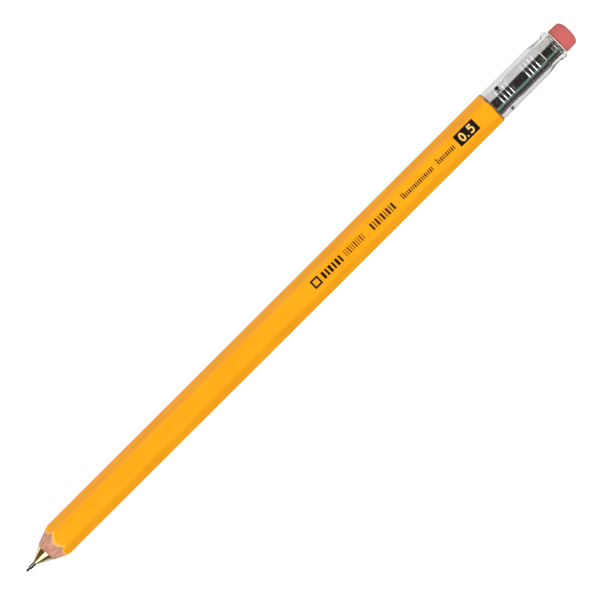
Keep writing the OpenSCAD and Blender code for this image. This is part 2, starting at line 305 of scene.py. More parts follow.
class Paint(Nodes):
    """A material whose shader is fed by procedural nodes, in the row frame's own millimetres.

    fixed holds the shader's constant values, by the names of their sockets.
    """

    def __init__(self, name, **fixed):
        self.material = bpy.data.materials.new(name)
        self.material.use_nodes = True
        super().__init__(self.material.node_tree)
        self.shader = self.tree.nodes["Principled BSDF"]
        for socket, value in fixed.items():
            self.shader.inputs[socket.replace("_", " ")].default_value = value
        self.place = self.scaled(self.add("ShaderNodeTexCoord").outputs["Object"], (1 / MM, 1 / MM, 1 / MM))

    def scaled(self, source, scale):
        node = self.add("ShaderNodeMapping")
        node.inputs["Scale"].default_value = scale
        self.join(source, node.inputs["Vector"])
        return node.outputs["Vector"]

    def noise(self, size, detail=3, roughness=0.5, distortion=0):
        """Noise whose grain is about that many millimetres along X, Y and Z."""
        node = self.add("ShaderNodeTexNoise")
        node.inputs["Scale"].default_value = 1
        node.inputs["Detail"].default_value = detail
        node.inputs["Roughness"].default_value = roughness
        node.inputs["Distortion"].default_value = distortion
        self.join(self.scaled(self.place, [1 / each for each in size]), node.inputs["Vector"])
        return node.outputs["Fac"]

    def colour(self, source):
        self.join(source, self.shader.inputs["Base Color"])

    def rough(self, source):
        self.join(source, self.shader.inputs["Roughness"])

    def bump(self, source, height):
        """Relief of that many millimetres. Several calls stack up."""
        node = self.add("ShaderNodeBump")
        node.inputs["Strength"].default_value = 1
        node.inputs["Distance"].default_value = height * MM
        self.join(source, node.inputs["Height"])
        used = self.shader.inputs["Normal"].links
        if used:
            self.join(used[0].from_socket, node.inputs["Normal"])
        self.join(node.outputs["Normal"], self.shader.inputs["Normal"])


def lacquer_paint():
    """Thick glossy yellow lacquer: slight ripple of the coats, dust specks and faint handling marks."""
    p = Paint("yellow_lacquer", Specular_IOR_Level=0.2, Coat_Weight=0.08, Coat_Roughness=0.05)
    depth = p.noise((9, 2.2, 2.2), detail=2)
    tone = p.mix(p.steps(depth, 0.35, 0.65), (0.695, 0.268, 0.0025), (0.725, 0.294, 0.0035))
    specks = p.steps(p.noise((0.35, 0.3, 0.3), detail=1), 0.78, 0.84)
    p.colour(p.mix(specks, tone, (0.62, 0.235, 0.006)))
    marks = p.noise((2.4, 0.16, 0.16), detail=4, roughness=0.65)
    p.rough(p.steps(marks, 0.45, 0.8, 0.16, 0.34))
    p.bump(p.noise((5, 1.3, 1.3), detail=2), 0.012)
    p.bump(marks, 0.0012)
    return p.material


def shaded_rim_paint():
    """Painted shade on the barrel's slanted rear edge: the lacquer there is coloured darker and browner, with
    a soft mottle.
    """
    p = Paint("lacquer_rim_shade", Specular_IOR_Level=0.28)
    shade_mottle = p.noise((0.3, 0.9, 0.9), detail=3)
    p.colour(p.mix(p.steps(shade_mottle, 0.3, 0.7), (0.36, 0.135, 0.008), (0.20, 0.075, 0.006)))
    p.rough(p.steps(shade_mottle, 0.3, 0.7, 0.25, 0.4))
    p.bump(shade_mottle, 0.01)
    return p.material


def primer_paint(name, light, dark):
    """Cut edge of the lacquer's coats, where the pale primer shows through."""
    p = Paint(name, Specular_IOR_Level=0.3)
    grain = p.noise((0.5, 0.16, 0.16), detail=3)
    p.colour(p.mix(p.steps(grain, 0.3, 0.7), light, dark))
    p.rough(p.steps(grain, 0.3, 0.7, 0.5, 0.7))
    return p.material


def wood_paint():
    """Pink-brown pencil wood, sharpened: fine grain along it, darker growth lines and small pores."""
    p = Paint("pencil_wood", Specular_IOR_Level=0.25)
    growth = p.noise((14, 0.62, 1.1), detail=2, distortion=0.25)
    fibre = p.noise((1.8, 0.07, 0.07), detail=4, roughness=0.6)
    pores = p.noise((0.9, 0.09, 0.09), detail=2)
    mottle = p.noise((1.1, 0.5, 0.5), detail=2)
    base = p.mix(p.steps(growth, 0.36, 0.62), (0.68, 0.31, 0.225), (0.50, 0.265, 0.165))
    mottled = p.mix(p.math("MULTIPLY", p.steps(mottle, 0.52, 0.66), 0.5), base, (0.60, 0.33, 0.28))
    fine = p.mix(p.steps(fibre, 0.40, 0.66), mottled, (0.37, 0.165, 0.105))
    lines = p.math("MULTIPLY", p.steps(growth, 0.50, 0.53), p.steps(growth, 0.58, 0.55))
    lined = p.mix(p.math("MULTIPLY", lines, 0.7), fine, (0.24, 0.10, 0.055))
    p.colour(p.mix(p.math("MULTIPLY", p.steps(pores, 0.62, 0.70), 0.7), lined, (0.23, 0.095, 0.06)))
    p.rough(p.steps(fibre, 0.3, 0.7, 0.55, 0.75))
    p.bump(fibre, 0.02)
    p.bump(p.steps(pores, 0.62, 0.70), -0.015)
    return p.material


def metal_paint(name, light, dark, low, high, ring, relief=0.002, dents=0.0):
    """Turned metal, from low to high roughness: fine tool rings, dull patches and small handling dents."""
    p = Paint(name, Metallic=1.0)
    rings = p.noise((ring, 6, 6), detail=3, roughness=0.6)
    patches = p.noise((1.6, 1.1, 1.1), detail=4, roughness=0.6)
    p.colour(p.mix(p.steps(patches, 0.35, 0.7), light, dark))
    mixed = p.math("ADD", p.math("MULTIPLY", rings, 0.45), p.math("MULTIPLY", patches, 0.55))
    p.rough(p.steps(mixed, 0.3, 0.7, low, high))
    p.bump(rings, relief)
    if dents:
        p.bump(p.noise((0.42, 0.36, 0.36), detail=3, roughness=0.7), dents)
    return p.material


def plastic_paint(name, light, dark):
    """Moulded plastic: slight flow marks, fine texture and scuffs."""
    p = Paint(name)
    flow = p.noise((4, 0.9, 0.9), detail=3)
    scuffs = p.noise((0.7, 0.08, 0.08), detail=4, roughness=0.7)
    p.colour(p.mix(p.steps(flow, 0.35, 0.65), light, dark))
    p.rough(p.steps(scuffs, 0.4, 0.8, 0.25, 0.4))
    p.bump(scuffs, 0.002)
    return p.material


def clear_paint():
    """Clear polished plastic with faint flow marks and fine scratches."""
    p = Paint("clear_plastic", Transmission_Weight=1.0, IOR=1.49)
    flow = p.noise((5, 1.4, 1.4), detail=2)
    scratches = p.noise((1.6, 0.05, 0.05), detail=3, roughness=0.7)
    p.colour(p.mix(p.steps(flow, 0.3, 0.7), (0.965, 0.97, 0.972), (0.94, 0.945, 0.95)))
    p.rough(p.steps(scratches, 0.62, 0.8, 0.012, 0.10))
    p.bump(flow, 0.003)
    return p.material


def eraser_paint(name, light, dark):
    """Matt eraser rubber: powdery fine grain, pink dust and a darker worn skin."""
    p = Paint(name, Specular_IOR_Level=0.2)
    cloud = p.noise((1.9, 1.5, 1.5), detail=4, roughness=0.6)
    grain = p.noise((0.11, 0.11, 0.11), detail=3, roughness=0.7)
    tone = p.mix(p.steps(cloud, 0.35, 0.68), light, dark)
    dusty = p.mix(p.math("MULTIPLY", p.steps(grain, 0.55, 0.75), 0.3), tone, (0.66, 0.26, 0.24))
    p.colour(p.mix(p.math("MULTIPLY", p.steps(grain, 0.42, 0.3), 0.5), dusty, (0.36, 0.07, 0.07)))
    p.rough(p.steps(cloud, 0.3, 0.7, 0.78, 0.92))
    p.bump(grain, 0.03)
    p.bump(p.noise((0.7, 0.7, 0.7), detail=3), 0.04)
    return p.material


def graphite_paint():
    """Polished pencil lead: dark grey with a dull streaky shine along its length."""
    p = Paint("graphite", Metallic=0.12, Specular_IOR_Level=0.22)
    streaks = p.noise((0.8, 0.06, 0.06), detail=4, roughness=0.65)
    p.colour(p.mix(p.steps(streaks, 0.35, 0.7), (0.005, 0.005, 0.006), (0.018, 0.018, 0.021)))
    p.rough(p.steps(streaks, 0.3, 0.7, 0.3, 0.5))
    p.bump(streaks, 0.004)
    return p.material


def rubber_paint():
    """Soft black rubber with a fine matt texture."""
    p = Paint("black_rubber", Specular_IOR_Level=0.3)
    grain = p.noise((0.08, 0.08, 0.08), detail=3)
    p.colour(p.mix(grain, (0.012, 0.012, 0.012), (0.03, 0.03, 0.03)))
    p.rough(p.steps(grain, 0.3, 0.7, 0.6, 0.8))
    p.bump(grain, 0.01)
    return p.material


def ink_paint(name, solid, worn):
    """Printed ink, slightly uneven, with a trace of the colour under it."""
    p = Paint(name, Specular_IOR_Level=0.1)
    grain = p.noise((0.12, 0.12, 0.12), detail=3, roughness=0.7)
    p.colour(p.mix(p.math("MULTIPLY", p.steps(grain, 0.5, 0.8), 0.6), solid, worn))
    p.rough(p.steps(grain, 0.3, 0.7, 0.3, 0.5))
    p.bump(grain, 0.002)
    return p.material


LACQUER = lacquer_paint()
# Painted shade: the dark brown colour of the barrel's rear edge.
LACQUER_RIM_SHADE = shaded_rim_paint()
PRIMER = primer_paint("primer", (0.80, 0.41, 0.14), (0.72, 0.34, 0.10))
THIN_LACQUER = primer_paint("thin_lacquer", (0.80, 0.37, 0.035), (0.76, 0.325, 0.015))
WOOD = wood_paint()
BRASS = metal_paint("brass", (0.86, 0.68, 0.36), (0.74, 0.54, 0.25), 0.08, 0.22, 0.06, 0.0015)
CHUCK_BRASS = metal_paint("chuck_brass", (0.78, 0.60, 0.31), (0.62, 0.45, 0.22), 0.22, 0.42, 0.08)
PIPE_STEEL = metal_paint("pipe_steel", (0.052, 0.048, 0.038), (0.038, 0.035, 0.027), 0.10, 0.20, 0.1)
PIN_STEEL = metal_paint("blackened_steel", (0.020, 0.020, 0.022), (0.010, 0.010, 0.012), 0.12, 0.25, 0.1)
BRIGHT_METAL = metal_paint(
    "bright_metal", (0.80, 0.79, 0.77), (0.70, 0.69, 0.67), 0.05, 0.14, 0.08, 0.0006, dents=0.0042
)
NECK_METAL = metal_paint(
    "neck_metal", (0.74, 0.71, 0.66), (0.66, 0.62, 0.57), 0.04, 0.10, 0.08, 0.0005, dents=0.0006
)
SPRING_STEEL = metal_paint("spring_steel", (0.66, 0.66, 0.68), (0.52, 0.52, 0.54), 0.2, 0.35, 0.1)
CLEAR = clear_paint()
# The shanks' pale colour is a painted highlight: seen through the sleeve it shows as a light halo round each
# black pin head.
PIN_SHANK_HALO = plastic_paint("pin_shank_halo", (0.86, 0.86, 0.87), (0.78, 0.78, 0.79))
WHITE_PLASTIC = plastic_paint("white_plastic", (0.80, 0.80, 0.78), (0.74, 0.74, 0.71))
ERASER = eraser_paint("eraser_pink", (0.470, 0.095, 0.091), (0.428, 0.101, 0.094))
# Painted highlight and painted shade: the pale lip on the eraser's base edge and the dark seam in the groove
# behind it.
ERASER_LIP_HIGHLIGHT = eraser_paint("eraser_lip_highlight", (0.84, 0.74, 0.66), (0.76, 0.62, 0.54))
ERASER_SEAM_SHADE = eraser_paint("eraser_seam_shade", (0.17, 0.055, 0.060), (0.12, 0.045, 0.050))
GRAPHITE = graphite_paint()
RUBBER = rubber_paint()
INK = ink_paint("black_ink", (0.008, 0.006, 0.005), (0.030, 0.018, 0.007))
THIN_INK = ink_paint("thin_ink", (0.030, 0.014, 0.006), (0.13, 0.055, 0.008))
BARE_INK = ink_paint("unprinted_lacquer", (0.72, 0.42, 0.10), (0.66, 0.34, 0.06))


def dress(obj, body, slot, materials, *nodes):
    """Gives a piece its materials and its body, and hides the CAD nodes that it stands for. The slot argument
    is not used.
    """
    for material in materials if isinstance(materials, list) else [materials]:
        obj.data.materials.append(material)
    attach(obj, body)
    if nodes:
        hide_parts(*nodes)


# ---------------------------------------------------------------- barrel

SECTOR = math.radians(60)
FLAT_STEPS = 16
CORNER_STEPS = 8
CORNER_ROUNDING = 0.55
COAT = 0.05  # thickness of the lacquer
PRIMER_WIDTH = 0.2  # the pale primer shows over this length where the coats were cut
THIN_WIDTH = 0.42  # behind the primer the lacquer is thin over this length
WOOD_TIP_R = 2.44  # the wood's radius at its front end
WOOD_SLOPE = math.tan(math.radians(23))
SHARPENING_TILT = 0.12  # the sharpened cone is this much steeper on its -Y side
REAR_EDGE_R = 3.56
REAR_EDGE_SLOPE = 0.45
WOOD_RECESS = 0.02  # the wood ends this far in front of the lacquer's rear edge
BORE_R = 2.1
COUNTERBORE_R = 3.2
COUNTERBORE_S = BARREL_END - 8.8


def flat_limit(flat, corner_rounding):
    """The turn, from the middle of a flat, at which the rounded corner starts."""
    return math.atan((flat - corner_rounding) * math.tan(SECTOR / 2) / flat)


def hexagon_r(turn, flat, corner_rounding):
    """Distance from the axis to a hexagon with rounded corners, whose flats face up and down."""
    off_flat = (turn + SECTOR / 2) % SECTOR - SECTOR / 2
    if abs(off_flat) <= flat_limit(flat, corner_rounding):
        return flat / math.cos(off_flat)
    centre = (flat - corner_rounding) / math.cos(SECTOR / 2)
    off_corner = SECTOR / 2 - abs(off_flat)
    across = centre * math.sin(off_corner)
    return centre * math.cos(off_corner) + math.sqrt(corner_rounding**2 - across**2)


def sharpened_s(turn, r):
    """Station at which the sharpened cone reaches a distance from the axis."""
    return BARREL_S + (r - WOOD_TIP_R) / WOOD_SLOPE * (1 + SHARPENING_TILT * math.sin(turn))


def barrel_turns(first, last):
    """Turns from one sector border to another, with the same steps in each of the hexagon's sectors."""
    limit = flat_limit(FLAT_R, CORNER_ROUNDING)
    corner = SECTOR - 2 * limit
    in_sector = [-limit + 2 * limit * i / FLAT_STEPS for i in range(FLAT_STEPS + 1)]
    in_sector += [limit + corner * i / CORNER_STEPS for i in range(1, CORNER_STEPS)]
    found = [SECTOR * n + turn for n in range(-3, 4) for turn in in_sector]
    found = [turn for turn in found if first + 1e-6 < turn < last - 1e-6]
    return [first, *found, last]


def rear_chamfer_s(r):
    """Station at which the barrel's slanted rear edge reaches a distance from the axis."""
    return BARREL_END - max(r - REAR_EDGE_R, 0) * REAR_EDGE_SLOPE


def slat_outline(turn):
    """Outline of the wood at a turn: the sharpened cone, the flat or corner, the rear end and the bore."""
    r = hexagon_r(turn, FLAT_R - COAT, CORNER_ROUNDING - COAT)
    scallop = sharpened_s(turn, r)
    steps = 12
    cone = []
    for i in range(steps + 1):
        s = BARREL_S + (scallop - BARREL_S) * i / steps
        cone.append((s, WOOD_TIP_R + (r - WOOD_TIP_R) * i / steps))
    wood_end = BARREL_END - WOOD_RECESS
    return [
        *cone,
        (rear_chamfer_s(r + COAT) - WOOD_RECESS, r),
        (wood_end, REAR_EDGE_R - 0.1),
        (wood_end, COUNTERBORE_R),
        (COUNTERBORE_S, COUNTERBORE_R),
        (COUNTERBORE_S, BORE_R),
        (BARREL_S, BORE_R),
    ]


def skin_outline(turn):
    """Outline of the lacquer: cut slanted at the sharpened cone, and drawn in round the rear edge."""
    inner = hexagon_r(turn, FLAT_R - COAT, CORNER_ROUNDING - COAT) + 0.001
    outer = hexagon_r(turn, FLAT_R, CORNER_ROUNDING)
    start = sharpened_s(turn, inner)
    cut_end = start + PRIMER_WIDTH + THIN_WIDTH
    chamfer = rear_chamfer_s(outer)
    slant = (BARREL_END - chamfer) / REAR_EDGE_SLOPE
    return [
        (start, inner),
        (start + PRIMER_WIDTH, inner + COAT * 0.5),
        (start + PRIMER_WIDTH + THIN_WIDTH / 2, inner + COAT * 0.75),
        (cut_end, outer - 0.004),
        ((cut_end + chamfer) / 2, outer),
        (chamfer - 0.24, outer),
        (chamfer - 0.06, outer - 0.012),
        (chamfer + 0.05, outer - 0.07 * min(slant * 3, 1)),
        (BARREL_END - 0.05, REAR_EDGE_R + 0.03),
        (BARREL_END, REAR_EDGE_R - 0.05),
        (BARREL_END, REAR_EDGE_R - 0.14),
        (BARREL_END - 0.06, REAR_EDGE_R - 0.1),
        (chamfer - WOOD_RECESS, inner),
        ((cut_end + chamfer) / 2, inner),
    ]


def skin_zone(k):
    """The material of each stretch of the lacquer's outline: primer and thin lacquer at the cut front edge,
    painted shade on the rear edge.
    """
    if k < 1:
        return 1
    if k < 3:
        return 2
    return 3 if 5 <= k < 10 else 0


def make_barrel():
    quarter = math.pi / 2
    upper = swept("wood_upper", slat_outline, barrel_turns(-quarter, quarter), False)
    dress(upper, "barrel", "lacquered_wood", WOOD, "slat_upper")
    lower_turns = [turn + math.pi for turn in barrel_turns(-quarter, quarter)]
    lower = swept("wood_lower", slat_outline, lower_turns, False)
    dress(lower, "barrel", "lacquered_wood", WOOD, "slat_lower")
    skin_turns = barrel_turns(-math.pi, math.pi)[:-1]
    skin = swept("lacquer_skin", skin_outline, skin_turns, zone_of=skin_zone, sharp_angle=50)
    # The rear edge's stretches get the painted shade.
    dress(skin, "barrel", "lacquered_wood", [LACQUER, PRIMER, THIN_LACQUER, LACQUER_RIM_SHADE])


# ---------------------------------------------------------------- nose

THREAD_PITCH = 0.5
THREAD_DEPTH = 0.14
THREAD_S = CONE_END + 0.5
THREAD_END = SPIGOT_END - 0.2
THREAD_RUN_IN = 0.5  # the thread gains its depth over this length
THREAD_RUN_OUT = 0.4  # and loses it over this length
ROWS_IN_PITCH = 10
SPIGOT_R = 1.7
NOSE_TIP_R = 0.56
PIPE_SEAT_R = 0.475
PIPE_SEAT_END = CONE_S + 1.6
RETAINER_POCKET_R = 0.92
RETAINER_POCKET_END = CONE_S + 2.8
NOSE_BORE_R = 1.27
NOSE_MOUTH_R = 1.35
NOSE_MOUTH_S = CONE_S + 5.35


def thread_r(s, turn):
    """Distance from the axis to the spigot's surface, with the thread running out at both ends."""
    wave = 0.5 - 0.5 * math.cos(FULL_TURN * (s / THREAD_PITCH - turn / FULL_TURN))
    fade = min((s - THREAD_S) / THREAD_RUN_IN, (THREAD_END - s) / THREAD_RUN_OUT, 1)
    depth = THREAD_DEPTH * max(fade, 0)
    return SPIGOT_R - depth * wave**1.5


def nose_outline(turn):
    """Outline of the nose piece at a turn: the cone, the threaded spigot and the stepped bore."""
    cone = rounded(
        [
            (CONE_S + 0.25, PIPE_SEAT_R),
            (CONE_S, PIPE_SEAT_R, 0.03),
            (CONE_S, NOSE_TIP_R, 0.05),
            (CONE_END - 0.16, CONE_R - 0.06, 0.1),
            (CONE_END - 0.03, CONE_R - 0.005, 0.05),
            (CONE_END, CONE_R - 0.06, 0.03),
            (CONE_END, SPIGOT_R - 0.08),
        ]
    )
    rows = int((SPIGOT_END - CONE_END) / THREAD_PITCH * ROWS_IN_PITCH)
    spigot = []
    for i in range(1, rows):
        s = CONE_END + (SPIGOT_END - CONE_END) * i / rows
        spigot.append((s, thread_r(s, turn)))
    inside = [
        (SPIGOT_END, SPIGOT_R - 0.16),
        (SPIGOT_END, NOSE_MOUTH_R),
        (NOSE_MOUTH_S, NOSE_MOUTH_R),
        (NOSE_MOUTH_S, NOSE_BORE_R),
        (RETAINER_POCKET_END, NOSE_BORE_R),
        (RETAINER_POCKET_END, RETAINER_POCKET_R),
        (PIPE_SEAT_END, RETAINER_POCKET_R),
        (PIPE_SEAT_END, PIPE_SEAT_R),
    ]
    return [*cone, *spigot, *inside]


def make_nose():
    cone = swept("turned_nose", nose_outline, even_turns(72))
    dress(cone, "nose", "brass", BRASS, "nose_cone")
    pipe_bore_r = LEAD_R + 0.04
    pipe_outline = [
        (PIPE_S, pipe_bore_r, 0.03),
        (PIPE_S, PIPE_R - 0.03, 0.04),
        (PIPE_S + 0.06, PIPE_R, 0.04),
        (PIPE_END, PIPE_R, 0.03),
        (PIPE_END, pipe_bore_r, 0.03),
    ]
    pipe = turned("drawn_pipe", pipe_outline, sides=48)
    dress(pipe, "nose", "pipe_steel", PIPE_STEEL, "guide_pipe")


def make_lead():
    """The stick of lead in use: its tip is worn to a slant."""
    length = span("writing_lead")[1]
    wear, worn_turn = 0.07, 2.4

    def outline(turn):
        worn = wear * (1 + math.cos(turn - worn_turn))
        return [
            (0, 0),
            (worn * 0.3, LEAD_R * 0.75),
            (worn * 0.5 + 0.01, LEAD_R * 0.95),
            (worn * 0.7 + 0.04, LEAD_R),
            (0.4, LEAD_R),
            (length * 0.5, LEAD_R),
            (length - 0.03, LEAD_R),
            (length, LEAD_R - 0.03),
            (length, 0),
        ]

    lead = swept("lead_in_use", outline, even_turns(40))
    dress(lead, "lead", "graphite", GRAPHITE, "writing_lead")


# ---------------------------------------------------------------- clear sleeve and its pins

GUIDE_R = 3.18  # the sleeve's front part, which sits in the barrel's counterbore
GUIDE_BORE_R = 2.45  # the lead tube runs in this bore
POCKET_S = FERRULE_S - 2.45  # the wider bore for the ferrule starts here
SLEEVE_BODY_R = SLEEVE_R - 0.02
SLEEVE_BORE_R = FERRULE_R + 0.05
SLEEVE_NECK_R = 3.5
SLEEVE_NECK_FLARE = 0.09  # how much wider the neck's two ends are
NECK_BORE_R = ERASER_R + 0.06
LIP_S = SLEEVE_END - 1.3
LIP_R = 3.79
LIP_EDGE_R = 3.56

PIN_R = 0.26
PIN_HEAD_R = 0.55
PIN_FOOT = 2.86  # distance from the axis to the pins' inner ends
PIN_HEAD = 3.80  # distance from the axis to the undersides of the pins' heads
PIN_TURNS = [math.radians(each) for each in (36, 156, 276)]
PIN_SHIFTS = (0.2, 0.0, -0.3)  # how far each pin sits off their common station
PIN_SINKS = (0.0, 0.0, 0.075)  # how much deeper each pin's head is set


def make_sleeve():
    """The clear sleeve: its guide in the barrel, its body, a slim flared neck and a rounded lip."""
    neck_s, neck_end = SHOULDER_S + 0.1, LIP_S - 0.3
    steps = 12
    neck = []
    for i in range(steps + 1):
        along = i / steps
        flare = SLEEVE_NECK_FLARE * (2 * along - 1) ** 4
        neck.append((neck_s + along * (neck_end - neck_s), SLEEVE_NECK_R + flare))
    outline = [
        (GUIDE_S, GUIDE_R, 0.15),
        (SLEEVE_S, GUIDE_R, 0.05),
        (SLEEVE_S, SLEEVE_BODY_R, 0.08),
        (BODY_END - 0.9, SLEEVE_BODY_R, 1.6),
        *neck,
        (LIP_S + 0.08, LIP_R, 0.25),
        (SLEEVE_END - 0.32, LIP_R, 0.18),
        (SLEEVE_END, LIP_EDGE_R, 0.12),
        (SLEEVE_END, NECK_BORE_R + 0.02, 0.08),
        (SLEEVE_END - 2.0, NECK_BORE_R, 0.6),
        (SHOULDER_S + 0.6, SLEEVE_BORE_R, 0.6),
        (POCKET_S, SLEEVE_BORE_R, 0.05),
        (POCKET_S, GUIDE_BORE_R, 0.05),
        (GUIDE_S, GUIDE_BORE_R, 0.08),
    ]
    sleeve = turned("clear_guide_sleeve", outline, sides=128)
    dress(sleeve, "barrel", "clear_plastic", CLEAR, "clear_sleeve")


def pin_shape(name, turn, shift, sink):
    """A pin moulded into the sleeve that points out from the axis: a shank painted pale, a painted highlight
    that shows as a light halo round the thin black cap.
    """
    head = PIN_HEAD - sink
    cap_start = (head + 0.07, PIN_HEAD_R)
    profile = [
        (PIN_FOOT, 0),
        (PIN_FOOT, PIN_R - 0.05),
        (PIN_FOOT + 0.05, PIN_R),
        (head - 0.04, PIN_R),
        (head, PIN_R + 0.02),
        (head, PIN_HEAD_R - 0.03),
        (head + 0.03, PIN_HEAD_R),
        cap_start,
        (head + 0.11, PIN_HEAD_R - 0.04),
        (head + 0.135, PIN_HEAD_R - 0.14),
        (head + 0.15, PIN_HEAD_R - 0.30),
        (head + 0.155, 0),
    ]
    middle = Vector((TIP_X + (PIN_S + shift) * MM, 0, AXIS_Z))
    out = Vector((0, math.sin(turn), math.cos(turn)))
    along = Vector((1, 0, 0))
    across = out.cross(along)
    sides = 32
    points = []
    for height, r in profile:
        for k in range(sides):
            angle = FULL_TURN * k / sides
            spoke = along * math.cos(angle) + across * math.sin(angle)
            points.append(middle + (out * height + spoke * r) * MM)
    cap = profile.index(cap_start)
    zones = [1 if i < cap else 0 for i in range(len(profile) - 1) for k in range(sides)]
    return new_piece(name, points, faces_between(len(profile), sides), zones)


def make_pins():
    settings = enumerate(zip(PIN_TURNS, PIN_SHIFTS, PIN_SINKS), start=1)
    pins = [pin_shape(f"stop_pin_{number}", *each) for number, each in settings]
    for pin in pins:
        dress(pin, "barrel", "pipe_steel", [PIN_STEEL, PIN_SHANK_HALO])
    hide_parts("sleeve_pins")


# ---------------------------------------------------------------- ferrule and eraser

RINGS_IN_SET = 4
RING_PITCH = 1.08
RING_WIDTH = 0.84
RING_DEPTH = 0.09
FRONT_RINGS = [SLEEVE_S + 2.28 + RING_PITCH * i for i in range(RINGS_IN_SET)]
REAR_RINGS = [SLEEVE_S + 10.48 + RING_PITCH * i for i in range(RINGS_IN_SET)]
WAIST_DEPTH = 0.10  # the ferrule is waisted round its front rings, where the pins run
WAIST_RAMP = 0.9
WAIST_S = FRONT_RINGS[0] - RING_WIDTH / 2
WAIST_END = FRONT_RINGS[-1] + RING_WIDTH / 2
FERRULE_BORE_R = 2.42
FERRULE_NECK_R = 2.68
RIM_S = FERRULE_END - 0.85
PLUG_R = 2.4
DOME_L = 1.34
DOME_POWER = 0.66  # a lower power gives the dome a fuller shoulder


def groove(s, middle, width, depth):
    """How far a rounded groove cuts in at a station."""
    off = abs(s - middle)
    return depth * (0.5 + 0.5 * math.cos(FULL_TURN * off / width)) if off < width / 2 else 0


def ferrule_r(s):
    """Distance from the axis to the ferrule's outside, in front of its shoulder."""
    entered = min(max((s - WAIST_S) / WAIST_RAMP + 1, 0), 1)
    left = min(max((WAIST_END - s) / WAIST_RAMP + 1, 0), 1)
    inside = entered * left
    waisted = FERRULE_R - WAIST_DEPTH * inside * inside * (3 - 2 * inside)
    return waisted - sum(groove(s, middle, RING_WIDTH, RING_DEPTH) for middle in FRONT_RINGS + REAR_RINGS)


def make_ferrule():
    """The metal ferrule: two sets of crimped rings, a shoulder, a slim neck and a beaded rim."""
    steps = 260
    start, end = FERRULE_S + 0.1, SHOULDER_S - 0.28
    ringed = []
    for i in range(steps + 1):
        s = start + (end - start) * i / steps
        ringed.append((s, ferrule_r(s)))
    outline = rounded(
        [
            (FERRULE_S, FERRULE_BORE_R),
            (FERRULE_S, FERRULE_R - 0.09, 0.05),
            *ringed,
            (SHOULDER_S - 0.22, FERRULE_R, 0.04),
            (SHOULDER_S + 0.06, FERRULE_NECK_R, 0.06),
            (RIM_S - 0.12, FERRULE_NECK_R, 0.1),
            (RIM_S - 0.02, FERRULE_NECK_R + 0.14, 0.06),
            (RIM_S + 0.1, FERRULE_NECK_R + 0.19, 0.08),
            (RIM_S + 0.24, FERRULE_NECK_R + 0.07, 0.08),
            (FERRULE_END - 0.12, FERRULE_NECK_R + 0.11, 0.1),
            (FERRULE_END, FERRULE_NECK_R + 0.06, 0.05),
            (FERRULE_END, FERRULE_BORE_R),
        ]
    )
    neck_start = next(k for k, point in enumerate(outline) if point[0] > SHOULDER_S)
    ferrule = swept(
        "crimped_ferrule",
        lambda turn: outline,
        even_turns(128),
        zone_of=lambda k: 1 if k >= neck_start else 0,
        sharp_angle=60,
    )
    dress(ferrule, "button", "bright_metal", [BRIGHT_METAL, NECK_METAL], "ferrule")


def make_eraser():
    """Rounded rubber end: a lip at the ferrule painted pale as a highlight and a groove behind it painted
    dark as shade, a soft edge and a domed face.
    """
    steps = 26
    dome = []
    for i in range(steps + 1):
        angle = math.pi / 2 * i / steps
        s = ERASER_END - DOME_L * (1 - math.sin(angle))
        dome.append((s, (ERASER_R - 0.05) * math.cos(angle) ** DOME_POWER))
    dome[-1] = (ERASER_END, 0)
    # The lip's stretches carry a painted highlight, and the seam's stretches a painted shade.
    lip, seam = range(4, 7), range(7, 10)  # stretches of the outline
    front = [
        (PLUG_S, 0),
        (PLUG_S, PLUG_R - 0.15),
        (PLUG_S + 0.15, PLUG_R),
        (ERASER_S, PLUG_R),
        (ERASER_S, ERASER_R - 0.12),
        (ERASER_S + 0.06, ERASER_R - 0.03),
        (ERASER_S + 0.14, ERASER_R),
        (ERASER_S + 0.24, ERASER_R - 0.01),
        (ERASER_S + 0.28, ERASER_R - 0.06),
        (ERASER_S + 0.46, ERASER_R - 0.06),
        (ERASER_S + 0.50, ERASER_R - 0.02),
        (ERASER_S + 0.62, ERASER_R),
    ]

    def outline(turn):
        worn = 1 + 0.006 * math.sin(2 * turn + 0.7) + 0.004 * math.sin(3 * turn + 2)
        return [*front, *[(s, min(r * worn, ERASER_R)) for s, r in dome]]

    def zone(k):
        return 1 if k in lip else 2 if k in seam else 0

    eraser = swept("rubber_eraser", outline, even_turns(96), zone_of=zone)
    dress(eraser, "eraser", "eraser_rubber", [ERASER, ERASER_LIP_HIGHLIGHT, ERASER_SEAM_SHADE], "eraser")


# ---------------------------------------------------------------- return spring

SPRING_TURNS = 10
SPRING_STEPS = 28
WIRE_R = 0.125
SPRING_R = 1.15  # distance from the axis to the middle of the wire


def make_spring():
    """A coil whose first and last turns lie almost closed."""
    length = SPRING_END - SPRING_S
    rise_of_all = length - 2 * WIRE_R
    end_rise = 2.2 * WIRE_R
    centres = []
    for i in range(SPRING_TURNS * SPRING_STEPS + 1):
        t = i / SPRING_STEPS
        if t < 1:
            rise = end_rise * t
        elif t > SPRING_TURNS - 1:
            rise = rise_of_all - end_rise * (SPRING_TURNS - t)
        else:
            rise = end_rise + (rise_of_all - 2 * end_rise) * (t - 1) / (SPRING_TURNS - 2)
        centres.append(place(SPRING_S + WIRE_R + rise, SPRING_R, FULL_TURN * t))
    spring = wire_along("coil_spring", centres, WIRE_R * MM)
    dress(spring, "barrel", "spring_steel", SPRING_STEEL, "return_spring")
    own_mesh(spring)


# ---------------------------------------------------------------- print on the top face

INK_LIFT = 0.007
INK_ROOT = 0.01  # how deep the plates reach into the lacquer
STROKE_W = 0.42
DIGIT_H = 0.88  # half of the height between the middles of a digit's top and bottom strokes
BADGE_S = BARREL_END - 11.38
BADGE_END = BARREL_END - 5.38
BADGE_HALF = 1.52
MARK_S = BARREL_END - 57.4
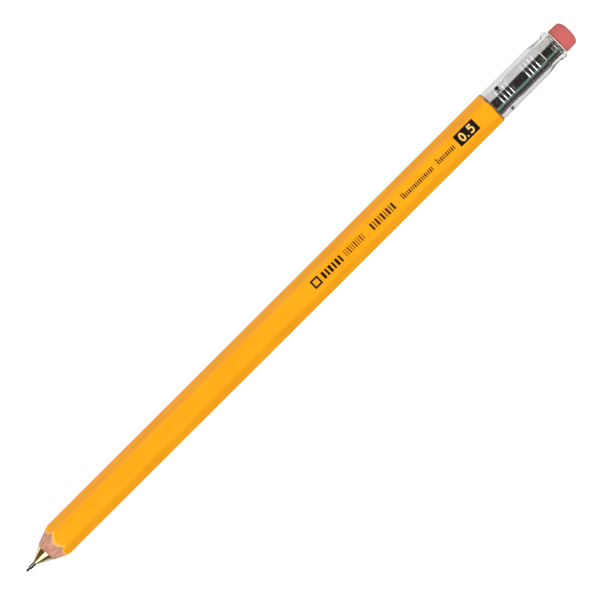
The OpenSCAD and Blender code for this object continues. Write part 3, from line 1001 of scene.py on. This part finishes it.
# Rows of plain bars that stand for lettering: first and last station behind MARK_S, first and last y, the
# widths that repeat, and the gap.
BLOCK_BARS = (3.2, 9.6, -0.95, 0.85, [0.70, 0.52], 0.46)
LINE_BARS = [
    (10.3, 16.6, -0.85, 0.78, [0.18, 0.18, 0.32], 0.40),
    (18.7, 26.0, -0.92, 0.88, [0.56, 0.26], 0.42),
    (28.4, 38.4, -0.78, 0.25, [0.26, 0.36, 0.24], 0.26),
    (28.4, 29.4, 0.28, 0.78, [0.26], 0.26),
    (39.6, 44.8, -0.78, 0.25, [0.28, 0.24, 0.34], 0.26),
    (39.6, 40.2, 0.28, 0.78, [0.28], 0.26),
]


def plate(name, shapes, lift, material):
    """Flat print on the top face. A shape is an outline of (station, y) corners, or a ring's two."""
    points, faces = [], []
    for shape in shapes:
        loops = shape if isinstance(shape, tuple) else (shape,)
        first, count = len(points), len(loops[0])
        level = count * len(loops)
        for height in (FLAT_R - INK_ROOT, FLAT_R + lift):
            for loop in loops:
                points += [(TIP_X + s * MM, y * MM, AXIS_Z + height * MM) for s, y in loop]
        for k in range(count):
            n = (k + 1) % count
            for start in range(first, first + level, count):
                faces.append((start + k, start + n, start + level + n, start + level + k))
            if len(loops) == 2:
                for start in (first, first + level):
                    faces.append((start + k, start + n, start + count + n, start + count + k))
        if len(loops) == 1:
            faces.append(tuple(range(first, first + count)))
            faces.append(tuple(range(first + count, first + 2 * count)))
    dress(new_piece(name, points, faces), "barrel", "lacquered_wood", material)


def ring(path, width):
    """The two outlines of a stroke of that width along a closed path."""
    count = len(path)
    left, right = [], []
    for i, (s, y) in enumerate(path):
        before, after = path[i - 1], path[(i + 1) % count]
        ahead = Vector((after[0] - before[0], after[1] - before[1])).normalized()
        side = Vector((-ahead.y, ahead.x)) * width / 2
        left.append((s + side.x, y + side.y))
        right.append((s - side.x, y - side.y))
    return left, right


def box_shape(s_from, s_to, y_from, y_to):
    """The outline of an upright box."""
    return [(s_from, y_from), (s_to, y_from), (s_to, y_to), (s_from, y_to)]


def bars(start, end, y_from, y_to, widths, gap):
    """A row of plain upright bars from one station to another."""
    found, s = [], start
    for width in itertools.cycle(widths):
        if s + width > end + 1e-6:
            return found
        found.append(box_shape(s, s + width, y_from, y_to))
        s += width + gap


def arc(centre, r_s, r_y, start, end, steps):
    """Points on an oval from one angle to another, in degrees."""
    found = []
    for i in range(steps + 1):
        angle = math.radians(start + (end - start) * i / steps)
        found.append((centre[0] + r_s * math.cos(angle), centre[1] + r_y * math.sin(angle)))
    return found


def oval(centre, r_s, r_y, steps):
    """A closed oval."""
    return arc(centre, r_s, r_y, 0, 360, steps)[:-1]


def five_shape(middle):
    """The outline of a plain 5: its flag and stem, then round its open bowl and back."""
    bowl_centre, bowl_r = (middle - 0.02, -0.27), 0.60
    top, bottom = DIGIT_H + STROKE_W / 2, DIGIT_H - STROKE_W / 2
    outer_r, inner_r = bowl_r + STROKE_W / 2, bowl_r - STROKE_W / 2
    flag = [(middle - 0.50, top), (middle + 0.62, top), (middle + 0.62, bottom), (middle - 0.20, bottom)]
    outside = arc(bowl_centre, outer_r, outer_r, 108, -140, 24)
    inside = arc(bowl_centre, inner_r, inner_r, -140, 108, 24)
    return [*flag, *outside, *inside, (middle - 0.50, 0.02)]


def make_print():
    """The badge with the lead's size, and plain marks and bars where lettering would be."""
    plate("ink_badge", [box_shape(BADGE_S, BADGE_END, -BADGE_HALF, BADGE_HALF)], INK_LIFT, INK)
    zero_s = BADGE_S + 1.62
    zero = ring(oval((zero_s, 0), 0.52, DIGIT_H, 28), STROKE_W)
    dot = oval((zero_s + 1.22, -DIGIT_H + 0.02), 0.22, 0.22, 14)
    plate("ink_numerals", [zero, dot, five_shape(zero_s + 2.62)], 2 * INK_LIFT, BARE_INK)

    def bar_row(start, end, *rest):
        return bars(MARK_S + start, MARK_S + end, *rest)

    square = ring(box_shape(MARK_S + 0.3, MARK_S + 2.1, -0.9, 0.9), 0.62)
    plate("ink_mark", [square, *bar_row(*BLOCK_BARS)], INK_LIFT, INK)
    plate("ink_lines", [bar for row in LINE_BARS for bar in bar_row(*row)], INK_LIFT, THIN_INK)


make_barrel()
make_nose()
make_lead()
make_sleeve()
make_pins()
make_ferrule()
make_eraser()
make_spring()
make_print()

# The hidden mechanism keeps its CAD shapes, and each node gets its real material.
CARRIED = {
    "front_insert": ("brass", CHUCK_BRASS),
    "chuck_housing": ("brass", CHUCK_BRASS),
    "clutch_ring": ("brass", CHUCK_BRASS),
    "jaw_1": ("brass", CHUCK_BRASS),
    "jaw_2": ("brass", CHUCK_BRASS),
    "jaw_3": ("brass", CHUCK_BRASS),
    "chuck_stem": ("brass", CHUCK_BRASS),
    "lead_retainer": ("retainer_rubber", RUBBER),
    "lead_tube": ("white_plastic", WHITE_PLASTIC),
    "button_core": ("white_plastic", WHITE_PLASTIC),
    "spare_leads": ("graphite", GRAPHITE),
}
for node_name, (slot_name, material) in CARRIED.items():
    node_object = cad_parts[node_name]
    for each in node_object.material_slots:
        each.material = material


# ---------------------------------------------------------------- floor and light

FLOOR_HALF = 30  # in metres
TABLE_GLOW = 0.80
TABLE_LIGHT = 0.32  # the table lights the pencil's sides less than it glows
ONE_OR_MORE = 0.5  # a ray's depths are whole counts, so a count above this is 1 or more
FOUR_OR_MORE = 3.5


def grey(level):
    return (level, level, level)


# The studio that reflections see: bands of colour round the pencil, as (first angle, last angle, colour).
# 0 is straight up and 90 is towards +Y. Between the bands the colours blend.
BLACK = grey(0.003)
DARK = (0.040, 0.035, 0.036)
PINK = (0.21, 0.13, 0.13)
CREAM = (0.80, 0.80, 0.75)
LOW_CREAM = (0.6, 0.6, 0.57)
COOL = (1.0, 1.2, 1.35)
RING_COOL = (1.0, 1.2, 1.3)
PALE = (0.76, 0.76, 0.75)
FRONT_BANDS = [
    (-180, -124, COOL),
    (-112, -112, (0.34, 0.26, 0.15)),
    (-96, -96, (0.12, 0.085, 0.045)),
    (-60, -60, (0.07, 0.06, 0.035)),
    (-49, 3, (2.6, 2.8, 3.0)),
    (10, 10, (0.15, 0.085, 0.035)),
    (98, 98, (0.12, 0.065, 0.028)),
    (110, 180, COOL),
]
RINGED_BANDS = [
    (-180, -126, RING_COOL),
    (-114, -114, (0.20, 0.16, 0.10)),
    (-84, -84, (0.06, 0.05, 0.04)),
    (-60, -60, (0.30, 0.32, 0.31)),
    (-47, -4, grey(2.4)),
    (8, 8, grey(0.70)),
    (36, 36, grey(0.50)),
    (46, 96, grey(1.7)),
    (106, 106, (1.0, 1.15, 1.25)),
    (180, 180, RING_COOL),
]
MIDDLE_BANDS = [
    (-180, -180, LOW_CREAM),
    (-170, -164, (0.9, 0.9, 0.85)),
    (-156, -122, BLACK),
    (-117, -101, PINK),
    (-95, -69, BLACK),
    (-63, -63, (0.16, 0.27, 0.23)),
    (-45, -45, (0.22, 0.38, 0.31)),
    (-39, 36, DARK),
    (41, 41, (0.80, 0.78, 0.80)),
    (112, 112, (0.84, 0.82, 0.85)),
    (119, 119, grey(0.40)),
    (126, 150, CREAM),
    (180, 180, LOW_CREAM),
]
REAR_BANDS = [(-180, -180, grey(0.8)), (-100, 100, (1.6, 1.6, 1.5))]
# From a first to a second X of the direction, the next set of bands takes over. Surfaces that slant towards
# the lead, such as the brass cone, reflect a low X.
BANDS_ALONG_X = [(-0.62, -0.55, RINGED_BANDS), (-0.40, -0.32, MIDDLE_BANDS), (0.74, 0.82, REAR_BANDS)]
# Light that turned round inside the clear sleeve's wall sees a pale studio with a dark screen overhead.
WALL_BANDS = [(-180, -50, PALE), (-38, 34, grey(0.02)), (42, 180, PALE)]


def make_floor():
    """A plain white light table, so that the pencil lies on an even white ground."""
    mesh = bpy.data.meshes.new("floor")
    corners = [(-1, -1), (1, -1), (1, 1), (-1, 1)]
    mesh.from_pydata([(x * FLOOR_HALF, y * FLOOR_HALF, 0) for x, y in corners], [], [(0, 1, 2, 3)])
    floor = bpy.data.objects.new("floor", mesh)
    scene.collection.objects.link(floor)
    material = bpy.data.materials.new("light_table")
    material.use_nodes = True
    nodes = Nodes(material.node_tree)
    table = nodes.tree.nodes["Principled BSDF"]
    table.inputs["Base Color"].default_value = (*grey(0.3), 1)
    table.inputs["Roughness"].default_value = 1
    table.inputs["Specular IOR Level"].default_value = 0
    table.inputs["Emission Color"].default_value = (*grey(1), 1)
    path = nodes.add("ShaderNodeLightPath")
    glow = nodes.steps(path.outputs["Is Diffuse Ray"], 0, 1, TABLE_GLOW, TABLE_LIGHT, smooth=False)
    nodes.join(glow, table.inputs["Emission Strength"])
    # Reflections in the metal see the studio's lower half in place of the table.
    clear = nodes.add("ShaderNodeBsdfTransparent")
    either = nodes.add("ShaderNodeMixShader")
    nodes.join(nodes.math("GREATER_THAN", path.outputs["Glossy Depth"], ONE_OR_MORE), either.inputs["Fac"])
    nodes.join(table.outputs["BSDF"], either.inputs[1])
    nodes.join(clear.outputs["BSDF"], either.inputs[2])
    nodes.join(either.outputs["Shader"], nodes.tree.nodes["Material Output"].inputs["Surface"])
    mesh.materials.append(material)


def ramp(nodes, share, bands):
    """The colour at a share of the way round from -180 to 180 degrees."""
    node = nodes.add("ShaderNodeValToRGB")
    elements = node.color_ramp.elements
    elements.remove(elements[1])
    elements[0].color = (*bands[0][2], 1)
    for first, last, colour in bands:
        # The ramp's first stop already stands at -180.
        for angle in sorted({first, last} - {-180}):
            elements.new((angle + 180) / 360).color = (*colour, 1)
    nodes.join(share, node.inputs["Fac"])
    return node.outputs["Color"]


def make_studio():
    """Soft even light on every surface, and long soft boxes and dark screens for the reflections."""
    world = bpy.data.worlds.new("studio")
    scene.world = world
    world.use_nodes = True
    nodes = Nodes(world.node_tree)
    direction = nodes.add("ShaderNodeSeparateXYZ")
    nodes.join(nodes.add("ShaderNodeTexCoord").outputs["Generated"], direction.inputs["Vector"])
    x, y, z = direction.outputs
    share = nodes.steps(nodes.math("ARCTAN2", y, z), -math.pi, math.pi, smooth=False)
    studio = ramp(nodes, share, FRONT_BANDS)
    for low, high, bands in BANDS_ALONG_X:
        studio = nodes.mix(nodes.steps(x, low, high), studio, ramp(nodes, share, bands))
    path = nodes.add("ShaderNodeLightPath")
    faces_crossed = path.outputs["Transmission Depth"]
    in_plastic = nodes.math("GREATER_THAN", faces_crossed, ONE_OR_MORE)
    to_metal_and_back = nodes.math("GREATER_THAN", faces_crossed, FOUR_OR_MORE)
    reflected = nodes.math("GREATER_THAN", path.outputs["Glossy Depth"], ONE_OR_MORE)
    in_wall = nodes.mix(in_plastic, studio, ramp(nodes, share, WALL_BANDS))
    mirrored = nodes.mix(to_metal_and_back, in_wall, studio)
    colour = nodes.mix(reflected, grey(1.04), mirrored)
    nodes.join(colour, nodes.tree.nodes["Background"].inputs["Color"])


def area_light(name, location, size, power, unseen):
    """A soft box at a place in metres. The camera's rays and the unseen kinds of rays don't meet it."""
    data = bpy.data.lights.new(name, "AREA")
    data.size = size
    data.energy = power
    light = bpy.data.objects.new(name, data)
    light.location = location
    light.visible_camera = False
    for kind in unseen:
        setattr(light, f"visible_{kind}", False)
    scene.collection.objects.link(light)
    return light


def tip_light():
    """A small strip over the guide pipe, seen only in its reflections."""
    location = (TIP_X + 1.5 * MM, 7 * MM, AXIS_Z + 20 * MM)
    light = area_light("tip_strip", location, 5 * MM, 0.0042, ("diffuse", "transmission"))
    light.data.shape = "RECTANGLE"
    light.data.size_y = 17 * MM


def soft_light(name, location, size, power):
    """A large soft box that lights the pencil but isn't seen in its reflections."""
    light = area_light(name, location, size, power, ("glossy", "transmission"))
    light.rotation_euler = (-Vector(location)).to_track_quat("-Z", "Y").to_euler()


scene.view_settings.view_transform = "Standard"
make_floor()
make_studio()
tip_light()
soft_light("key", (-0.5, 0.9, 1.1), 1.0, 8.0)
soft_light("fill", (0.6, -1.0, 1.0), 1.2, 12.0)
